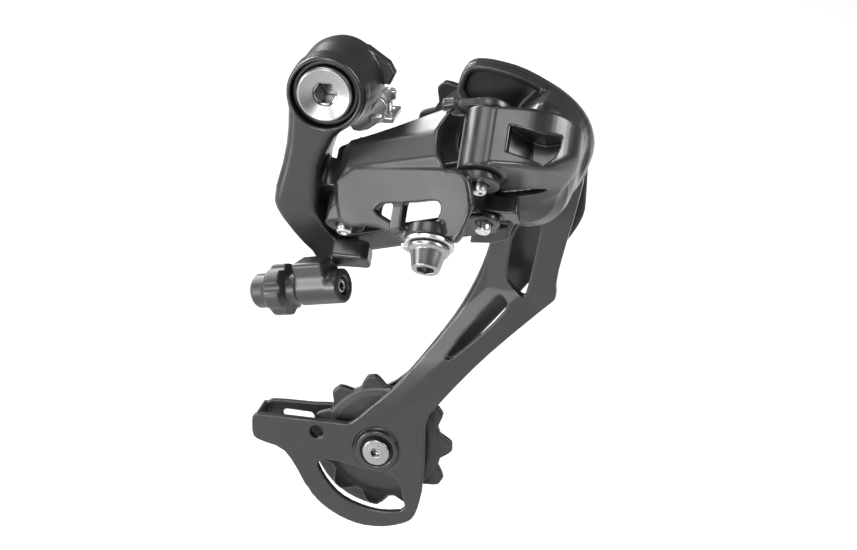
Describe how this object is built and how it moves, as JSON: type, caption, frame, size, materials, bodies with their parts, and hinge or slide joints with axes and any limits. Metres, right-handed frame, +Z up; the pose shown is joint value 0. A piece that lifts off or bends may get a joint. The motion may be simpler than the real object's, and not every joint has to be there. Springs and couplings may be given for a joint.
{
  "type": "rear bicycle derailleur",
  "caption": "Slant-parallelogram rear derailleur with a long sprung cage, guide and tension pulleys, barrel adjuster and cable anchor.",
  "frame": {"origin": "on the mounting bolt's axis, at the outer face of the bike's hanger", "axes": "+X forward along the bike, +Y inward to the wheel along the mounting bolt, +Z up"},
  "size_m": [0.1112, 0.0763, 0.1696],
  "materials": {
    "painted_alloy": "satin black paint on die-cast aluminium",
    "painted_steel": "satin black paint on pressed steel",
    "bright_steel": "bright turned steel",
    "plated_steel": "zinc plated steel",
    "spring_steel": "bright spring wire",
    "black_plastic": "matt black plastic",
    "knob_plastic": "matt black plastic",
    "pulley_plastic": "moulded black plastic",
    "bushing_bronze": "sintered bronze"
  },
  "bodies": {
    "hanger_mount": {"mounting_bolt": "bright_steel", "stopper_plate": "plated_steel", "b_axle_circlip": "spring_steel"},
    "b_tension_screw": {"b_tension_screw": "plated_steel"},
    "b_knuckle": {"b_knuckle": "painted_alloy", "b_axle_seal": "black_plastic", "b_spring": "spring_steel", "rear_outer_pin": "plated_steel", "rear_outer_pin_clip": "spring_steel", "rear_inner_pin": "plated_steel", "rear_inner_pin_clip": "spring_steel"},
    "barrel_adjuster": {"adjuster_knob": "knob_plastic", "adjuster_stem": "plated_steel", "adjuster_spring": "spring_steel"},
    "limit_screw_high": {"limit_screw_high": "plated_steel"},
    "limit_screw_low": {"limit_screw_low": "plated_steel"},
    "outer_link": {"outer_link": "painted_alloy", "cable_anchor_washer": "bright_steel"},
    "cable_anchor_bolt": {"cable_anchor_bolt": "bright_steel"},
    "inner_link": {"inner_link": "painted_steel", "return_spring": "spring_steel"},
    "p_knuckle": {"p_knuckle": "painted_alloy", "front_outer_pin": "plated_steel", "front_outer_pin_clip": "spring_steel", "front_inner_pin": "plated_steel", "front_inner_pin_clip": "spring_steel", "p_spring": "spring_steel", "p_axle_seal": "black_plastic"},
    "cage": {"p_axle": "plated_steel", "outer_cage_plate": "painted_alloy", "inner_cage_plate": "painted_steel", "cage_stop_pin": "plated_steel", "guide_pulley_bushing": "bushing_bronze", "guide_dust_cap_outer": "plated_steel", "guide_dust_cap_inner": "plated_steel", "guide_pulley_bolt": "bright_steel", "tension_pulley_bushing": "bushing_bronze", "tension_dust_cap_outer": "plated_steel", "tension_dust_cap_inner": "plated_steel", "tension_pulley_bolt": "bright_steel"},
    "guide_pulley": {"guide_pulley": "pulley_plastic"},
    "tension_pulley": {"tension_pulley": "pulley_plastic"}
  },
  "joints": [
    {"name": "b_pivot", "type": "hinge", "parent": "hanger_mount", "child": "b_knuckle", "pos_m": [0, 0, 0], "axis": [0, -1, 0], "range_deg": [0, 40], "stiffness_Nm_per_rad": 0.6, "springref_deg": -34.38},
    {"name": "link_swing", "type": "hinge", "parent": "b_knuckle", "child": "outer_link", "pos_m": [0.0068, -0.017, -0.0269], "axis": [0, 0.7071, 0.7071], "range_deg": [0, 58], "stiffness_Nm_per_rad": 0.8, "springref_deg": -34.38},
    {"name": "inner_link_pivot", "type": "hinge", "parent": "b_knuckle", "child": "inner_link", "pos_m": [0.0068, -0.00639, -0.03751], "axis": [0, 0.7071, 0.7071], "range_deg": [0, 58]},
    {"name": "p_knuckle_pivot", "type": "hinge", "parent": "outer_link", "child": "p_knuckle", "pos_m": [0.04994, -0.03188, -0.01202], "axis": [0, 0.7071, 0.7071], "range_deg": [-58, 0]},
    {"name": "cage_pivot", "type": "hinge", "parent": "p_knuckle", "child": "cage", "pos_m": [0.061, 0, -0.026], "axis": [0, -1, 0], "range_deg": [0, 110], "stiffness_Nm_per_rad": 0.4, "springref_deg": -28.65},
    {"name": "guide_pulley_spin", "type": "hinge", "parent": "cage", "child": "guide_pulley", "pos_m": [0.043, 0.012, -0.024], "axis": [0, 1, 0], "continuous": true},
    {"name": "tension_pulley_spin", "type": "hinge", "parent": "cage", "child": "tension_pulley", "pos_m": [0.0083, 0.012, -0.1295], "axis": [0, 1, 0], "continuous": true},
    {"name": "adjuster_turn", "type": "hinge", "parent": "b_knuckle", "child": "barrel_adjuster", "pos_m": [-0.0068, -0.029, -0.0615], "axis": [0.9413, -0.2451, 0.2321], "continuous": true},
    {"name": "b_tension_turn", "type": "hinge", "parent": "hanger_mount", "child": "b_tension_screw", "pos_m": [0.0122, 0.006, -0.012], "axis": [0, 0, 1], "continuous": true},
    {"name": "limit_high_turn", "type": "hinge", "parent": "b_knuckle", "child": "limit_screw_high", "pos_m": [-0.0112, -0.01163, -0.03708], "axis": [1, 0, 0], "continuous": true},
    {"name": "limit_low_turn", "type": "hinge", "parent": "b_knuckle", "child": "limit_screw_low", "pos_m": [-0.0112, -0.01672, -0.04217], "axis": [1, 0, 0], "continuous": true},
    {"name": "cable_anchor_turn", "type": "hinge", "parent": "outer_link", "child": "cable_anchor_bolt", "pos_m": [0.03655, -0.05075, -0.03982], "axis": [0, 0.7071, 0.7071], "continuous": true}
  ],
  "couplings": [
    {"joint": "inner_link_pivot", "follows": "link_swing", "ratio": 1},
    {"joint": "p_knuckle_pivot", "follows": "link_swing", "ratio": -1}
  ]
}
